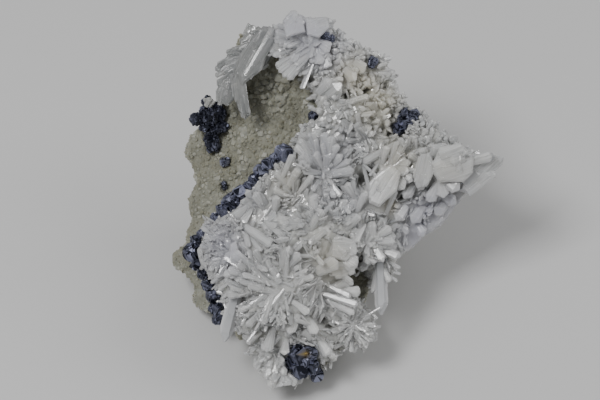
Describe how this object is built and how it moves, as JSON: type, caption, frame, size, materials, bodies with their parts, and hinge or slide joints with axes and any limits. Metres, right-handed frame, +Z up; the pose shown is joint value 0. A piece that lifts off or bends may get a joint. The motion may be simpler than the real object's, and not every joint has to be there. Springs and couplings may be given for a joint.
{
  "type": "galena specimen",
  "caption": "Natural mineral specimen: dark metallic galena crystals with sprays of milky quartz on a pale granular host rock that leans back over a flat broken base.",
  "frame": {"origin": "middle of the flat broken base that the specimen rests on", "axes": "+X to the right as the crystal-covered face is seen, +Y towards the back that the face leans over, +Z up"},
  "size_m": [0.1115, 0.1081, 0.0844],
  "materials": {
    "host_rock": "rough, sugary grain",
    "quartz": "glassy, milky, clearer at the tips",
    "galena": "metallic, slightly tarnished"
  },
  "bodies": {
    "root": {"host_rock": "host_rock", "quartz_crust": "quartz", "quartz_tall_blades": "quartz", "galena_left_cluster": "galena", "galena_rim_upper": "galena", "galena_rim_lower": "galena", "galena_base_cluster": "galena", "galena_right_pocket": "galena", "galena_bead_middle": "galena", "galena_bead_top": "galena", "galena_bead_upper_right": "galena", "galena_speck_upper": "galena", "galena_speck_lower": "galena"}
  },
  "joints": []
}
